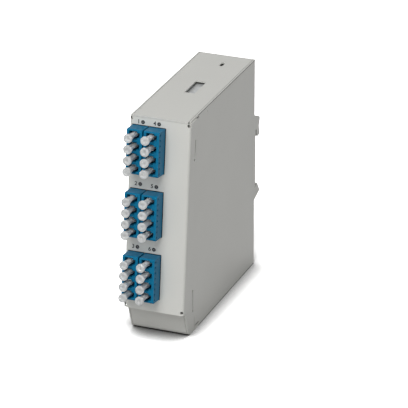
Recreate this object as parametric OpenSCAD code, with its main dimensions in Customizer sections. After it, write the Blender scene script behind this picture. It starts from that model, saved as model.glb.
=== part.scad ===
// DIN rail fibre box: a narrow folded sheet case that clips on a 35 mm rail,
// with a leaning front that carries six four-way LC adapters and slides out
// with its splice tray. Millimetres. X is width, Y is depth (front is -Y),
// Z is up. The origin is the middle of the flat base.

/* [Case] */
// Overall width, measured over the front cover
body_w = 35.4; // [33:0.1:60]
// Height of the case
body_h = 126; // [122:1:180]
// Depth from the foot of the front cover to the rear wall
body_d = 112.6; // [100:0.1:200]
// Sheet thickness of the case
sheet = 0.8; // [0.6:0.1:1.2]
// Outside radius of the folds at the rear wall
rear_bend_r = 1.4; // [1.0:0.1:3]
// Open seam between the top or base and the side walls
seam_gap = 0.25; // [0.1:0.05:0.5]

/* [Front cover] */
// Lean of the front cover, top towards the back, in degrees
lean_deg = 6.26; // [0:0.1:10]
// Height of the cover's lower edge
cover_z = 16.8; // [15:0.1:24]
// Sheet thickness of the cover
cover_sheet = 0.75; // [0.6:0.05:1.0]
// Outside radius of the cover's side folds
cover_bend_r = 1.8; // [1.5:0.1:2.5]
// Depth of the cover's side flanges
flange_d = 9.8; // [8:0.2:14]
// Depth of the cover's top flange, under the case top
top_flange_d = 8; // [5:0.5:9]
// Running gap between the side flanges and the case
cover_gap = 0.05; // [0.02:0.01:0.1]
// Diameter of the corner relief holes
relief_d = 1.7; // [1:0.1:2.5]
// Width of the snap slit in each side flange
snap_slit_w = 0.9; // [0.6:0.1:1.5]
// Length of the snap slit
snap_slit_l = 9.3; // [6:0.1:14]

/* [Chin] */
// Distance of the chin's upper edge behind the cover's foot
chin_back = 4.4; // [4:0.1:8]
// Lean of the chin in degrees
chin_lean = 20; // [5:1:30]
// Radius of the chin's fold into the base
chin_r = 4.6; // [2:0.1:6]

/* [Ports] */
// Distance between neighbouring ports
port_pitch = 6.25; // [6.25:0.05:7]
// Distance between adapter rows, as a share of the cover's length
row_share = 0.326; // [0.3:0.002:0.34]
// Middle of the lowest row, as a share of the cover's length
first_share = 0.184; // [0.16:0.002:0.2]
// Distance from the cover's left side to the middle of the left column
col_edge = 6.65; // [6.4:0.05:12]
// Distance between the two columns
col_pitch = 9.85; // [9.75:0.05:11]

/* [Adapters] */
// Width of an adapter body
adapter_w = 9; // [8.6:0.1:9.1]
// Height of an adapter body
adapter_h = 25.2; // [24.8:0.1:27]
// How far an adapter stands out of the cover
adapter_out = 8.8; // [8.6:0.1:12]
// Side of a square port
port_side = 4.75; // [4.5:0.05:5]
// Depth of a port
port_depth = 8.2; // [7.6:0.1:8.4]
// Thickness of the wall between front and rear ports
web_t = 3.9; // [3:0.1:5]
// Width of the latch slot beside each port
key_w = 3.0; // [2.4:0.1:3.6]
// Depth of the latch slot beside each port
key_d = 1.5; // [1:0.1:1.7]
// Diameter of the barrel that holds a sleeve
barrel_d = 2.6; // [2.4:0.1:3]
// Length of the barrel in front of the wall
barrel_l = 5.5; // [4:0.1:6.5]
// Outside diameter of an alignment sleeve
sleeve_d = 1.6; // [1.5:0.05:1.8]
// Ferrule bore of an alignment sleeve
ferrule_d = 1.25; // [1.2:0.05:1.3]
// Clearance round an adapter in its cut-out
cutout_gap = 0.05; // [0.02:0.01:0.15]

/* [Dust caps] */
// Head diameter of a dust cap
cap_head_d = 5.3; // [4.6:0.1:5.6]
// Length of the head
cap_head_l = 3.0; // [2:0.1:4]
// Neck diameter of a dust cap, at the port
cap_neck_d = 3.5; // [3.2:0.1:3.7]
// Neck diameter behind the head
cap_throat_d = 4.1; // [3.6:0.1:4.4]
// Stem diameter inside the port
cap_stem_d = 3.8; // [3.6:0.1:4.2]
// How far a cap stands out of its adapter
cap_out = 7.8; // [6:0.1:12]
// Running gap round the barrel, on the radius
cap_gap = 0.05; // [0.02:0.01:0.1]

/* [Splice carrier] */
// Sheet thickness of the carrier
carrier_sheet = 1.0; // [0.8:0.1:1.5]
// Gap between the carrier and the side walls
carrier_gap = 0.6; // [0.4:0.1:1]
// Height of the carrier's floor above the runners' base line
carrier_z = 17.6; // [17.5:0.1:24]
// Gap between the carrier's back edge and the rear wall
carrier_back = 6; // [4:0.5:12]
// Height of the gap above the carrier's top flange
carrier_top_gap = 1.4; // [1.2:0.1:3]
// Leg length of the runner angles
runner_leg = 6; // [4:0.5:7]
// Height of the runner angles
runner_h = 7; // [5:0.5:9]
// Sheet thickness of the runner angles
runner_t = 0.8; // [0.6:0.1:1.2]

/* [Splice tray] */
// Length of the splice tray, front to back
tray_l = 70; // [60:1:80]
// Gap between the splice tray and the sheet above it
tray_room = 5.2; // [3:0.1:10]
// Thickness of the splice tray over its rim
tray_t = 8.4; // [6:0.1:8.6]
// Floor and rim thickness of the splice tray
tray_wall = 1.3; // [1:0.1:1.4]
// Corner radius of the splice tray
tray_r = 10; // [6:0.5:14]
// Pitch of the splice slots
splice_pitch = 3.3; // [3:0.1:3.4]
// Gap between the two splice combs
comb_gap = 5; // [2:0.5:12]
// Length of a splice comb, front to back
comb_l = 14; // [8:1:24]
// Height of a comb's ribs over the tray
comb_t = 5; // [3:0.1:6]

/* [Openings] */
// Diameter of the cable gland hole in the base
gland_d = 16.5; // [12.5:0.5:20.5]
// Width of the inspection window in the top
window_w = 6; // [4:0.5:10]
// Length of the inspection window in the top
window_l = 18.2; // [10:0.1:30]
// Distance of the window behind the cover's foot
window_y = 51.7; // [40:0.1:60]

/* [Rail foot] */
// Height of the mounting rail
rail_h = 35; // [35:1:35]
// Height of the rail's upper edge above the base
rail_top_z = 81.6; // [75:0.1:100]
// Distance of the rail foot's side inside the case's side
foot_inset = 0.7; // [0.4:0.1:6]
// Thickness of the foot plate
foot_t = 2.4; // [2.2:0.1:3]
// How far the hook and the latch stand behind the rear wall
hook_out = 9.2; // [8:0.1:11]
// Gap between foot plate and hook lip
rail_slot = 1.8; // [1.4:0.1:2.4]
// Travel of the latch
latch_travel = 4; // [2:0.5:5]
// Width of the latch tongue
tongue_w = 14; // [10:0.5:15]
// Running gap of the latch
latch_gap = 0.1; // [0.05:0.01:0.2]
// Rivet shank diameter
rivet_d = 3.2; // [3:0.1:4]
// Rivet head diameter
rivet_head_d = 6; // [5:0.1:7]

/* [Hidden] */

$fn = 40;
eps = 0.01;
paint = "#c9ccc6";
zinc = "#b9bcbd";
blue = "#1a74a3";
white = "#f1f3f0";
ivory = "#e9e9e4";
steel = "#9a9da0";
sleeve_white = "#f4f2ea";

// case, across the width
out_w = body_w - 2 * (cover_sheet + cover_gap);
in_w = out_w - 2 * sheet;

// chin: a leaning lip that rolls into the base with radius chin_r
chin_top_z = cover_z - 0.7;
chin_line_y = chin_back + chin_top_z * tan(chin_lean);
chin_foot = chin_line_y + chin_r * tan((90 - chin_lean) / 2);
chin_top_y = chin_back;
base_mid = (chin_foot + body_d) / 2;
chin_steps = 10;

// wall edges stay behind the cover's side folds
wall_setback = cover_bend_r + 0.1;
cover_top_z = body_h - sheet - 0.12;
cover_len = (body_h - cover_z) / cos(lean_deg);
row_pitch = row_share * cover_len;
row_first = first_share * cover_len;

// adapters
col_left = col_edge - body_w / 2;
web_front = adapter_out - port_depth;
adapter_back = web_t + port_depth - web_front;
port_x = -0.8;
dent_t = 0.9;
dent_l = 1.4;
shoulder_h = 0.6;
shoulder_t = 1.4;
clip_t = 0.35;
clip_l = 5;
barrel_bore = sleeve_d + 0.1;

// dust caps
cap_seat_gap = 0.1;
cap_bore_d = barrel_d + 2 * cap_gap;
cap_tip = web_front + cap_seat_gap;
cap_end = adapter_out + cap_out;

// splice carrier and tray, seen from the front
web_x = in_w / 2 - carrier_gap;
carrier_end = body_d - sheet - carrier_back;
carrier_top = body_h - sheet - carrier_top_gap;
tray_x = web_x - carrier_sheet;
tray_y = carrier_end - 3 - tray_l;
tray_z = carrier_z + carrier_sheet + 3;
tray_h = carrier_top - carrier_sheet - tray_z - tray_room;
screw_d = 3;
screw_head_d = 5.5;
comb_rib = 0.8;
splice_slots = floor(((tray_h - comb_gap) / 2 - 2 - comb_rib) / splice_pitch);
comb_w = splice_pitch * splice_slots + comb_rib;
comb_y = tray_y + tray_l / 2;
stud_d = 3;
front_flange_x = col_left + col_pitch + adapter_w / 2 + 1.95;
nut_d = 6.1;
stud_x = tray_x - nut_d / 2 - 1;
stud_low = row_first + row_pitch / 2;
stud_high = stud_low + row_pitch;

// runners
runner_top = carrier_z - 0.1;
runner_front = chin_foot + 8;
runner_back = body_d - sheet - 8;

// rail foot
rail_low_z = rail_top_z - rail_h;
foot_w = out_w - 2 * foot_inset;
foot_top = rail_top_z + 6.4;
foot_rise = 3.2;
foot_low = rail_low_z + 0.4;
lip_in = foot_t + rail_slot;
lip_low = rail_top_z - 4.8;
pocket_t = foot_t - 1.0;
tongue_top = rail_low_z + 20.4;
peg_z = rail_low_z + 5.4;
peg_h = 1.5;
window_low = peg_z - 0.3;
window_top = tongue_top - 2.3;
latch_low = rail_low_z - 7.5;
tail_low = 14;
tail_w = 12;
rivet_x = foot_w / 2 - 4;
rivet_low = rail_low_z + 11;
rivet_high = rail_low_z + 24;
hole_gap = 0.05;

// gland hole: in the middle of the base
gland_y = base_mid;

// where the cover's front face lies at height z
function cover_y(z) = (z - cover_z) * tan(lean_deg);
// a line parallel to the cover's face, d behind it
function behind_y(z, d) = cover_y(z) + d / cos(lean_deg);
// points of the chin's curve, off inside its outer face
function chin_arc(off) = [
  for (i = [0:chin_steps])
    let (a = 270 - (90 - chin_lean) * i / chin_steps)
    [chin_foot + (chin_r - off) * cos(a), chin_r + (chin_r - off) * sin(a)]
];
function chin_tip(off) = [
  chin_top_y + off * cos(chin_lean),
  chin_top_z + off * sin(chin_lean)
];
// place of adapter a: 0 to 2 are the left column from the top, 3 to 5 the right
function adapter_x(a) = col_left + floor(a / 3) * col_pitch;
function adapter_v(a) = row_first + (2 - a % 3) * row_pitch;
// ports of an adapter, from the top
function port_v(p) = (1.5 - p) * port_pitch;

// frame of the case: Y from the cover's foot
module in_box() {
  translate([0, -base_mid, 0]) children();
}

// frame of the leaning cover: Z runs up along it, Y goes into the box
module on_cover() {
  in_box() translate([0, 0, cover_z]) rotate([-lean_deg, 0, 0]) children();
}

// a profile drawn as [depth, height], run across the width between x0 and x1
module across(x0, x1) {
  translate([x0, 0, 0])
    rotate([90, 0, 90])
      linear_extrude(height = x1 - x0)
        children();
}

// cutter that rounds a square edge running along Z, its corner at the origin
module edge_round(len, r) {
  difference() {
    translate([-1, -1, -eps]) cube([r + 1, r + 1, len + 2 * eps]);
    translate([r, r, -1]) cylinder(h = len + 2, r = r);
  }
}

// quarter of a tube along Z: the fold between two sheets
module fold(len, r, t) {
  intersection() {
    difference() {
      cylinder(h = len, r = r);
      translate([0, 0, -1]) cylinder(h = len + 2, r = r - t);
    }
    translate([0, -r - 1, -1]) cube([r + 1, r + 1, len + 2]);
  }
}

// side outline of the case
module side_outline() {
  polygon(concat(
    [[body_d, 0], [body_d, body_h],
     [behind_y(body_h, wall_setback), body_h],
     [behind_y(cover_z + 1.6, wall_setback), cover_z + 1.6],
     chin_tip(0)],
    [for (i = [chin_steps:-1:0]) chin_arc(0)[i]]
  ));
}

// section of the base sheet and the chin that is folded up from it
module base_section() {
  polygon(concat(
    [[body_d, 0]],
    chin_arc(0),
    [chin_tip(0), chin_tip(sheet)],
    [for (i = [chin_steps:-1:0]) chin_arc(sheet)[i]],
    [[body_d, sheet]]
  ));
}

// through cuts in a side wall, drawn at X 0 and cut both ways
module side_cuts() {
  low_slot_y = 16.1;
  low_slot_z = 12.8;
  low_slot_l = 12.1;
  relief_y = 18.3;
  // slit with round ends beside the cover's lower snap
  translate([-2, low_slot_y - 0.4, low_slot_z]) cube([4, 0.8, low_slot_l]);
  for (z = [low_slot_z, low_slot_z + low_slot_l])
    translate([-2, low_slot_y, z]) rotate([0, 90, 0]) cylinder(h = 4, d = 1.5);
  // fold relief and tab slot at the base
  translate([-2, relief_y - 0.2, -1]) cube([4, 0.4, 9.4]);
  translate([-2, relief_y + 1.5, 1.9]) cube([4, 5.2, 1.0]);
  // fold relief and tab slot at the top
  translate([-2, 21.3, body_h - 2.1]) cube([4, 0.5, 3]);
  translate([-2, 21.3, body_h - 2.1]) cube([4, 4.6, 1.1]);
  // small marks of the welding jig
  translate([-2, 0.34 * body_d, body_h - 3.3]) rotate([0, 90, 0]) cylinder(h = 4, d = 0.7);
}

// the snap slit and its click hole, in the cover's own frame
module snap_cuts(grow) {
  slit_d = 8.2;
  slit_v = cover_len - 20.8;
  translate([-body_w, slit_d - snap_slit_w / 2 - grow, slit_v])
    cube([2 * body_w, snap_slit_w + 2 * grow, snap_slit_l]);
  translate([-body_w, slit_d - 0.6, slit_v - 2.1])
    rotate([0, 90, 0])
      cylinder(h = 2 * body_w, d = 1.5 + 2 * grow);
}

module housing() {
  half = out_w / 2;
  color(paint) in_box() difference() {
    union() {
      // side walls
      across(half - sheet, half) side_outline();
      across(-half, -half + sheet) side_outline();
      // rear wall
      translate([-half, body_d - sheet, 0]) cube([out_w, sheet, body_h]);
      // top sheet, up to the cover's face
      translate([-half + sheet / 2, cover_y(body_h), body_h - sheet])
        cube([out_w - sheet, body_d - cover_y(body_h), sheet]);
      // base and chin
      across(-half + sheet / 2, half - sheet / 2) base_section();
    }
    // open seams along the top and the base
    for (s = [-1, 1])
      translate([s * (half - sheet - seam_gap / 2) - seam_gap / 2, 0, 0]) {
        translate([0, -1, body_h - sheet - 1])
          cube([seam_gap, body_d - rear_bend_r + 1, sheet + 2]);
        translate([0, -1, -1])
          cube([seam_gap, body_d - rear_bend_r + 1, sheet + 1.5]);
        translate([0, -1, -1])
          cube([seam_gap, chin_foot + 1, cover_z + 1]);
      }
    // the top sheet is narrower in front of the side walls
    for (s = [-1, 1])
      translate([s * (half - sheet / 2) - sheet / 2 - eps, -5, body_h - sheet - 1])
        cube([sheet + 2 * eps, behind_y(body_h, wall_setback) + 4.9, sheet + 2]);
    // folds at the rear wall
    for (s = [-1, 1])
      translate([s * half, body_d, 0])
        rotate([0, 0, s > 0 ? 180 : -90])
          edge_round(body_h, rear_bend_r);
    translate([-half, body_d, body_h])
      rotate([0, 90, 0]) rotate([0, 0, -90])
        edge_round(out_w, rear_bend_r);
    translate([-half, body_d, 0])
      rotate([0, 90, 0]) rotate([0, 0, 180])
        edge_round(out_w, rear_bend_r);
    // inspection window and slot in the top
    translate([1 - window_w / 2, window_y, body_h - sheet - 1])
      cube([window_w, window_l, sheet + 2]);
    for (y = [95.9, 99.5])
      translate([2.5, y, body_h - sheet - 1]) cylinder(h = sheet + 2, d = 2);
    translate([1.5, 95.9, body_h - sheet - 1]) cube([2, 3.6, sheet + 2]);
    // side wall cuts
    for (s = [-1, 1])
      translate([s * (half - sheet / 2), 0, 0]) side_cuts();
    // windows behind the cover's snap slits
    translate([0, 0, cover_z]) rotate([-lean_deg, 0, 0]) snap_cuts(0.3);
    // gland hole
    translate([0, gland_y, -1]) cylinder(h = sheet + 2, d = gland_d, $fn = 64);
    // rivet holes
    foot_rivets() cylinder(h = sheet + 2, d = rivet_d + 2 * hole_gap);
  }
}

// the runners are angles, spot-welded to the side walls
module runner(s) {
  wall = in_w / 2;
  leg = wall - runner_leg;
  len = runner_back - runner_front;
  color(zinc) in_box() {
    translate([s > 0 ? leg : -wall, runner_front, runner_top - runner_t])
      cube([runner_leg, len, runner_t]);
    translate([s > 0 ? wall - runner_t : -wall, runner_front, runner_top - runner_h])
      cube([runner_t, len, runner_h]);
  }
}

module front_plate() {
  half = body_w / 2;
  side_x = half - cover_bend_r;
  color(paint) difference() {
    union() {
      on_cover() {
        // the face
        translate([-side_x, 0, 0]) cube([2 * side_x, cover_sheet, cover_len]);
        for (s = [-1, 1]) {
          // fold
          translate([s * side_x, cover_bend_r, 0])
            rotate([0, 0, s > 0 ? 0 : -90])
              fold(cover_len, cover_bend_r, cover_sheet);
          // side flange
          translate([s > 0 ? half - cover_sheet : -half, cover_bend_r, 0.6])
            cube([cover_sheet, flange_d - cover_bend_r, cover_len - 0.6]);
        }
        // lower flange, over the chin
        translate([-in_w / 2 + 0.3, 0.1, 0])
          cube([in_w - 0.6, chin_back - 0.6, cover_sheet]);
      }
      // top flange, under the case top
      in_box()
        translate([-in_w / 2 + 0.8, cover_y(cover_top_z) + 0.2, cover_top_z - cover_sheet])
          cube([in_w - 1.6, top_flange_d, cover_sheet]);
    }
    // the upper edge is cut level with the underside of the top
    in_box() translate([-body_w, -5, cover_top_z])
      cube([2 * body_w, body_d, 10]);
    on_cover() {
      // adapter cut-outs
      for (a = [0:5])
        translate([adapter_x(a) - adapter_w / 2 - cutout_gap, -1,
                   adapter_v(a) - adapter_h / 2 - cutout_gap])
          cube([adapter_w + 2 * cutout_gap, cover_sheet + 2,
                adapter_h + 2 * cutout_gap]);
      // corner reliefs
      for (x = [-half + 1.2, half - 1.2])
        for (v = [1.7, cover_len - 2.0])
          translate([x, -1, v]) rotate([-90, 0, 0]) cylinder(h = 4, d = relief_d);
      snap_cuts(0);
    }
  }
}

// barrel with the bore for its sleeve, on the middle of port p
module barrel(p) {
  translate([port_x, -web_front - barrel_l, port_v(p)])
    rotate([-90, 0, 0])
      cylinder(h = web_t + 2 * barrel_l, d = barrel_d);
}

module adapter(a) {
  back = adapter_back;
  color(blue) on_cover() translate([adapter_x(a), 0, adapter_v(a)]) difference() {
    union() {
      difference() {
        union() {
          translate([-adapter_w / 2, -adapter_out, -adapter_h / 2])
            cube([adapter_w, adapter_out + back, adapter_h]);
          // shoulder behind the cover
          translate([-adapter_w / 2, cover_sheet, -adapter_h / 2 - shoulder_h])
            cube([adapter_w, shoulder_t, adapter_h + 2 * shoulder_h]);
        }
        for (p = [0:3]) {
          // front and rear port
          translate([port_x - port_side / 2, -adapter_out - 1,
                     port_v(p) - port_side / 2])
            cube([port_side, port_depth + 1, port_side]);
          translate([port_x - port_side / 2, web_t - web_front,
                     port_v(p) - port_side / 2])
            cube([port_side, port_depth + 1, port_side]);
          // latch slots
          translate([port_x + port_side / 2 - eps, -adapter_out - 1,
                     port_v(p) - key_w / 2])
            cube([key_d, port_depth, key_w]);
          translate([port_x + port_side / 2 - eps, web_t - web_front + 1,
                     port_v(p) - key_w / 2])
            cube([key_d, port_depth, key_w]);
          // pairs of small pockets in the side face
          for (z = [-1, 1])
            translate([adapter_w / 2 - dent_t, -adapter_out + 0.9,
                       port_v(p) + z * port_pitch / 4 - 0.5])
              cube([dent_t + 1, dent_l, 1]);
        }
        // chamfers round the front face
        for (s = [-1, 1])
          translate([0, -adapter_out, s * adapter_h / 2])
            rotate([45, 0, 0]) cube([adapter_w + 2, 0.9, 0.9], center = true);
      }
      for (p = [0:3]) barrel(p);
    }
    for (p = [0:3])
      translate([port_x, -adapter_out, port_v(p)])
        rotate([-90, 0, 0])
          cylinder(h = adapter_out + back + 1, d = barrel_bore);
  }
}

// sprung steel clips that hold the adapters from behind
module adapter_clips() {
  front = cover_sheet + shoulder_t + 0.05;
  color(steel) on_cover() for (a = [0:5])
    translate([adapter_x(a), front, adapter_v(a)]) difference() {
      translate([-adapter_w / 2 - 0.05, 0, -adapter_h / 2 - clip_t - 0.03])
        cube([adapter_w + clip_t + 0.1, clip_l, adapter_h + 2 * clip_t + 0.06]);
      translate([-adapter_w / 2 - 1, -1, -adapter_h / 2 - 0.03])
        cube([adapter_w + 1.05, clip_l + 2, adapter_h + 0.06]);
      // the arms taper and the spine has a window
      translate([adapter_w / 2 - 1, 1.4, -adapter_h / 4])
        cube([2, clip_l - 2.8, adapter_h / 2]);
    }
}

module alignment_sleeves() {
  len = web_t + 2 * barrel_l - 1;
  color(sleeve_white) on_cover() for (a = [0:5]) for (p = [0:3])
    translate([adapter_x(a) + port_x, -web_front - barrel_l + 0.5,
               adapter_v(a) + port_v(p)])
      rotate([-90, 0, 0]) difference() {
        cylinder(h = len, d = sleeve_d, $fn = 24);
        translate([0, 0, -1]) cylinder(h = len + 2, d = ferrule_d, $fn = 24);
      }
}

// one cap in port p of adapter a: head, neck, and a stem over the barrel
module dust_cap(a, p) {
  head_r = cap_head_d / 2;
  neck_r = cap_neck_d / 2;
  throat_r = cap_throat_d / 2;
  stem_r = cap_stem_d / 2;
  bore_r = cap_bore_d / 2;
  bore_end = web_front + barrel_l + 0.5;
  mouth = adapter_out - 0.6;
  head_low = cap_end - cap_head_l;
  rim = 0.7;
  color(white) on_cover()
    translate([adapter_x(a) + port_x, 0, adapter_v(a) + port_v(p)])
      rotate([90, 0, 0])
        rotate_extrude($fn = 36)
          polygon(concat(
            [[bore_r, cap_tip], [stem_r - 0.25, cap_tip], [stem_r, cap_tip + 0.4],
             [stem_r, mouth - 0.5], [neck_r, mouth + 0.4],
             [throat_r, head_low - 0.5], [head_r - 0.3, head_low],
             [head_r, head_low + 0.4]],
            [for (t = [0:15:90])
              [head_r - rim + rim * cos(t), cap_end - rim + rim * sin(t)]],
            [[0.9, cap_end], [0.6, cap_end - 0.45], [0, cap_end - 0.55],
             [0, bore_end], [bore_r, bore_end]]
          ));
}

module carrier_studs() {
  color(steel) on_cover() for (v = [stud_low, stud_high])
    translate([stud_x, cover_sheet, v]) rotate([-90, 0, 0])
      cylinder(h = 6.2, d = stud_d);
}

module carrier_nuts() {
  color(steel) on_cover() for (v = [stud_low, stud_high])
    translate([stud_x, cover_sheet + carrier_sheet, v]) rotate([-90, 0, 0])
      difference() {
        cylinder(h = 2.4, d = nut_d, $fn = 6);
        translate([0, 0, -1]) cylinder(h = 5, d = stud_d + 2 * 0.02);
      }
}

// folded carrier: web along the right wall, flanges at front, top and floor
module tray_carrier() {
  z0 = carrier_z;
  z1 = carrier_top;
  color(zinc) difference() {
    union() {
      in_box() {
        across(web_x - carrier_sheet, web_x)
          polygon([
            [behind_y(z0, cover_sheet), z0], [carrier_end, z0],
            [carrier_end, z1], [behind_y(z1, cover_sheet) + 10, z1],
            [behind_y(z1 - 12, cover_sheet), z1 - 12]
          ]);
        // floor flange
        translate([-web_x, runner_front - 6, z0])
          cube([2 * web_x, carrier_end - runner_front + 6, carrier_sheet]);
        // top flange, seen through the window
        translate([-web_x + 2, tray_y, z1 - carrier_sheet])
          cube([2 * web_x - 2, carrier_end - tray_y - 3, carrier_sheet]);
      }
      // front flange on the back of the cover
      on_cover() translate([front_flange_x, cover_sheet, 6])
        cube([web_x - front_flange_x, carrier_sheet, cover_len - 22]);
    }
    // cable way over the gland hole
    in_box() translate([-10, gland_y - 12, z0 - 1])
      cube([18, 24, carrier_sheet + 2]);
    // stud holes
    on_cover() for (v = [stud_low, stud_high])
      translate([stud_x, 0, v]) rotate([-90, 0, 0])
        cylinder(h = 4, d = stud_d + 0.3);
    // screw holes of the tray
    tray_points() cylinder(h = 6, d = screw_d + 0.2);
    // lightening cut-out behind the tray
    in_box() translate([web_x - carrier_sheet - 1, tray_y + 14, tray_z + 18])
      cube([carrier_sheet + 2, tray_l - 28, tray_h - 36]);
  }
}

// the tray's four screw places: Z points at the right wall
module tray_points() {
  in_box()
    for (y = [tray_y + 8, tray_y + tray_l - 8])
      for (z = [tray_z + 8, tray_z + tray_h - 8])
        translate([tray_x - tray_wall - 1, y, z]) rotate([0, 90, 0]) children();
}

// rounded rectangle in the tray's own plane, its corner at the origin
module tray_shape(l, h, r) {
  hull()
    for (y = [r, l - r])
      for (z = [r, h - r])
        translate([y, z]) circle(r = r, $fn = 32);
}

module splice_tray() {
  w = tray_wall;
  color(ivory) difference() {
    in_box() {
      difference() {
        translate([0, tray_y, tray_z])
          across(tray_x - tray_t, tray_x) tray_shape(tray_l, tray_h, tray_r);
        translate([0, tray_y + w, tray_z + w])
          across(tray_x - tray_t - 1, tray_x - w)
            tray_shape(tray_l - 2 * w, tray_h - 2 * w, tray_r - w);
        // fibre entries through the rim
        for (z = [tray_z + 16, tray_z + tray_h - 26])
          translate([tray_x - tray_t - 1, tray_y - 1, z]) cube([tray_t - w - 1, w + 2, 10]);
      }
      // winding rings between the combs
      for (y = [comb_y - 21, comb_y + 21])
        translate([tray_x - tray_t + 1.5, y, tray_z + tray_h / 2])
          rotate([0, 90, 0]) difference() {
            cylinder(h = tray_t - w - 1, r = 9);
            translate([0, 0, -1]) cylinder(h = tray_t - w, r = 7.8);
          }
    }
    tray_points() cylinder(h = 6, d = screw_d + 0.2);
  }
}

// comb whose low edge is at height z
module splice_comb(z) {
  x = tray_x - tray_wall;
  color(blue) in_box() {
    translate([x - 1, comb_y - comb_l / 2, z]) cube([1, comb_l, comb_w]);
    for (i = [0:splice_slots])
      translate([x - comb_t, comb_y - comb_l / 2, z + i * splice_pitch])
        cube([comb_t - 0.8, comb_l, comb_rib]);
  }
}

module splice_comb_upper() {
  splice_comb(tray_z + tray_h / 2 + comb_gap / 2);
}

module splice_comb_lower() {
  splice_comb(tray_z + tray_h / 2 - comb_gap / 2 - comb_w);
}

module tray_screws() {
  color(steel) tray_points() {
    translate([0, 0, -0.8]) difference() {
      cylinder(h = 1.8, d = screw_head_d);
      translate([-0.4, -3, -1]) cube([0.8, 6, 1.7]);
    }
    cylinder(h = 1 + tray_wall + carrier_sheet + 0.2, d = screw_d);
  }
}

// rivet places of the rail foot: Z points from inside the case to the back
module foot_rivets() {
  for (x = [-rivet_x, rivet_x])
    for (z = [rivet_low, rivet_high])
      translate([x, body_d - sheet - 1, z]) rotate([-90, 0, 0]) children();
}

module rail_plate() {
  y = body_d;
  half = foot_w / 2;
  color(paint) in_box() difference() {
    union() {
      across(-half, half)
        polygon([
          [y, foot_low], [y + foot_t, foot_low],
          [y + foot_t, rail_top_z], [y + lip_in, rail_top_z],
          [y + lip_in + 0.2, lip_low + 2.6], [y + lip_in + 1.2, lip_low],
          [y + hook_out, lip_low], [y + hook_out - 1.1, lip_low + 4],
          [y + hook_out - 1.3, rail_top_z + 1], [y + hook_out, rail_top_z + 4.2],
          [y + hook_out, foot_top - 0.8], [y + hook_out - 0.8, foot_top],
          [y + 1, foot_top + foot_rise], [y, foot_top + foot_rise]
        ]);
    }
    // pocket for the latch tongue, open to the rear wall
    translate([-tongue_w / 2 - latch_gap, y - 1, foot_low - 1])
      cube([tongue_w + 2 * latch_gap, 1 + pocket_t, tongue_top + 0.5 - foot_low + 1]);
    // lightening groove over the hook
    translate([-half + 4, y + foot_t + 1, foot_top - 2.4])
      cube([foot_w - 8, hook_out - foot_t - 3, 4]);
    foot_rivets() cylinder(h = 12, d = rivet_d + 2 * hole_gap);
  }
  // peg that the spring stands on
  color(paint) in_box()
    translate([-3, y + 0.1, peg_z]) cube([6, pocket_t + 0.1, peg_h]);
}

module rail_latch() {
  y = body_d;
  half = foot_w / 2;
  g = latch_gap;
  color(paint) in_box() difference() {
    union() {
      // nose across the foot
      across(-half, half)
        polygon([
          [y + g, latch_low], [y + 1.4, latch_low],
          [y + hook_out, latch_low + 2.6], [y + hook_out, latch_low + 3.6],
          [y + lip_in + 1.2, rail_low_z + 1.3], [y + lip_in, rail_low_z + 1.3],
          [y + lip_in - 0.2, rail_low_z], [y + g, rail_low_z]
        ]);
      // tongue in the foot's pocket
      translate([-tongue_w / 2, y + g, latch_low])
        cube([tongue_w, pocket_t - 2 * g, tongue_top - latch_low]);
      // tail to pull the latch down
      translate([-tail_w / 2, y + g, tail_low])
        cube([tail_w, 1.6, latch_low - tail_low + 1]);
    }
    // spring window in the tongue
    translate([-5.2, y - 1, window_low])
      cube([10.4, 4, window_top - window_low]);
    // screwdriver slot in the tail
    translate([-4, y - 1, tail_low + 3]) cube([8, 4, 2.6]);
  }
}

// flat zigzag spring between the peg and the tongue's window
module latch_spring() {
  wire = 0.7;
  reach = 4.4;
  legs = 6;
  z0 = peg_z + peg_h + 0.05 + wire / 2;
  z1 = window_top - 0.05 - wire / 2;
  rise = (z1 - z0) / legs;
  color(steel) in_box()
    translate([0, body_d + latch_gap + 0.25 + wire, 0])
      rotate([90, 0, 0]) linear_extrude(height = wire) {
        for (i = [0:legs - 1])
          translate([0, z0 + (i + 0.5) * rise])
            rotate([0, 0, (i % 2 == 0 ? 1 : -1) * atan(rise / (2 * reach))])
              square([2 * norm([reach, rise / 2]), wire], center = true);
        for (i = [0:legs])
          translate([i % 2 == 0 ? -reach : reach, z0 + i * rise])
            circle(d = wire, $fn = 24);
      }
}

module rail_rivets() {
  color(steel) in_box() foot_rivets() {
    // shank through the rear wall and the foot
    cylinder(h = 1 + sheet + foot_t + 0.6, d = rivet_d);
    // inner flare and outer head
    cylinder(h = 1, d1 = rivet_head_d - 1.4, d2 = rivet_head_d - 0.6);
    translate([0, 0, 1 + sheet + foot_t])
      cylinder(h = 1.1, d1 = rivet_head_d, d2 = rivet_head_d - 1.2);
  }
}

housing();
runner(-1);  // runner_left
runner(1);  // runner_right
front_plate();
adapter(0);  // lc_adapter_1
adapter(1);  // lc_adapter_2
adapter(2);  // lc_adapter_3
adapter(3);  // lc_adapter_4
adapter(4);  // lc_adapter_5
adapter(5);  // lc_adapter_6
adapter_clips();
alignment_sleeves();
carrier_studs();
carrier_nuts();
tray_carrier();
splice_tray();
splice_comb_upper();
splice_comb_lower();
tray_screws();
rail_plate();
rail_latch();
latch_spring();
rail_rivets();
dust_cap(0, 0);  // dust_cap_01
dust_cap(0, 1);  // dust_cap_02
dust_cap(0, 2);  // dust_cap_03
dust_cap(0, 3);  // dust_cap_04
dust_cap(1, 0);  // dust_cap_05
dust_cap(1, 1);  // dust_cap_06
dust_cap(1, 2);  // dust_cap_07
dust_cap(1, 3);  // dust_cap_08
dust_cap(2, 0);  // dust_cap_09
dust_cap(2, 1);  // dust_cap_10
dust_cap(2, 2);  // dust_cap_11
dust_cap(2, 3);  // dust_cap_12
dust_cap(3, 0);  // dust_cap_13
dust_cap(3, 1);  // dust_cap_14
dust_cap(3, 2);  // dust_cap_15
dust_cap(3, 3);  // dust_cap_16
dust_cap(4, 0);  // dust_cap_17
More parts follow.
